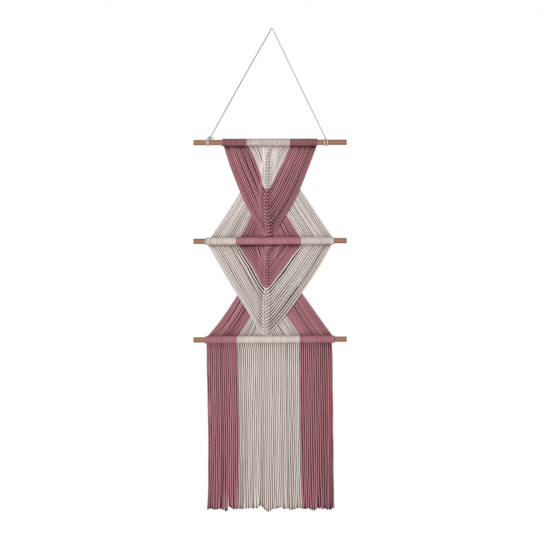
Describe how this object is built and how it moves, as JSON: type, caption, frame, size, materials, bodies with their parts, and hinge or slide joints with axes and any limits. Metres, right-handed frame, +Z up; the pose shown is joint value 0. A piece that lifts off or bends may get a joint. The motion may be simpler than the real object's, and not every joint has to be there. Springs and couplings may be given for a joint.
{
  "type": "macrame wall hanging on dowels",
  "caption": "Macrame wall hanging of pink and cream cotton cords on wooden dowels, with crossed fans of strands, knotted columns, wrapped bars and a long straight fringe, hung by a thin cord.",
  "frame": {"origin": "underside of the hanging cord's bend, where it lies on whatever holds the hanging up", "axes": "+Z up, +X to the right as seen from the front, and the front faces -Y"},
  "size_m": [0.34, 0.0186, 1.0726],
  "materials": {
    "wood": "satin oiled hardwood",
    "cream_cotton": "soft twisted cotton cord",
    "pink_cotton": "soft twisted cotton cord, dyed dusty pink",
    "white_cotton": "thin twisted cotton cord"
  },
  "bodies": {
    "root": {"dowel_top": "wood", "dowel_middle": "wood", "dowel_bottom": "wood", "cream_net": "cream_cotton", "pink_net": "pink_cotton", "fringe_left": "pink_cotton", "fringe_centre": "cream_cotton", "fringe_right": "pink_cotton", "hanging_cord": "white_cotton", "cord_knot_left": "white_cotton", "cord_turns_right": "white_cotton"}
  },
  "joints": []
}
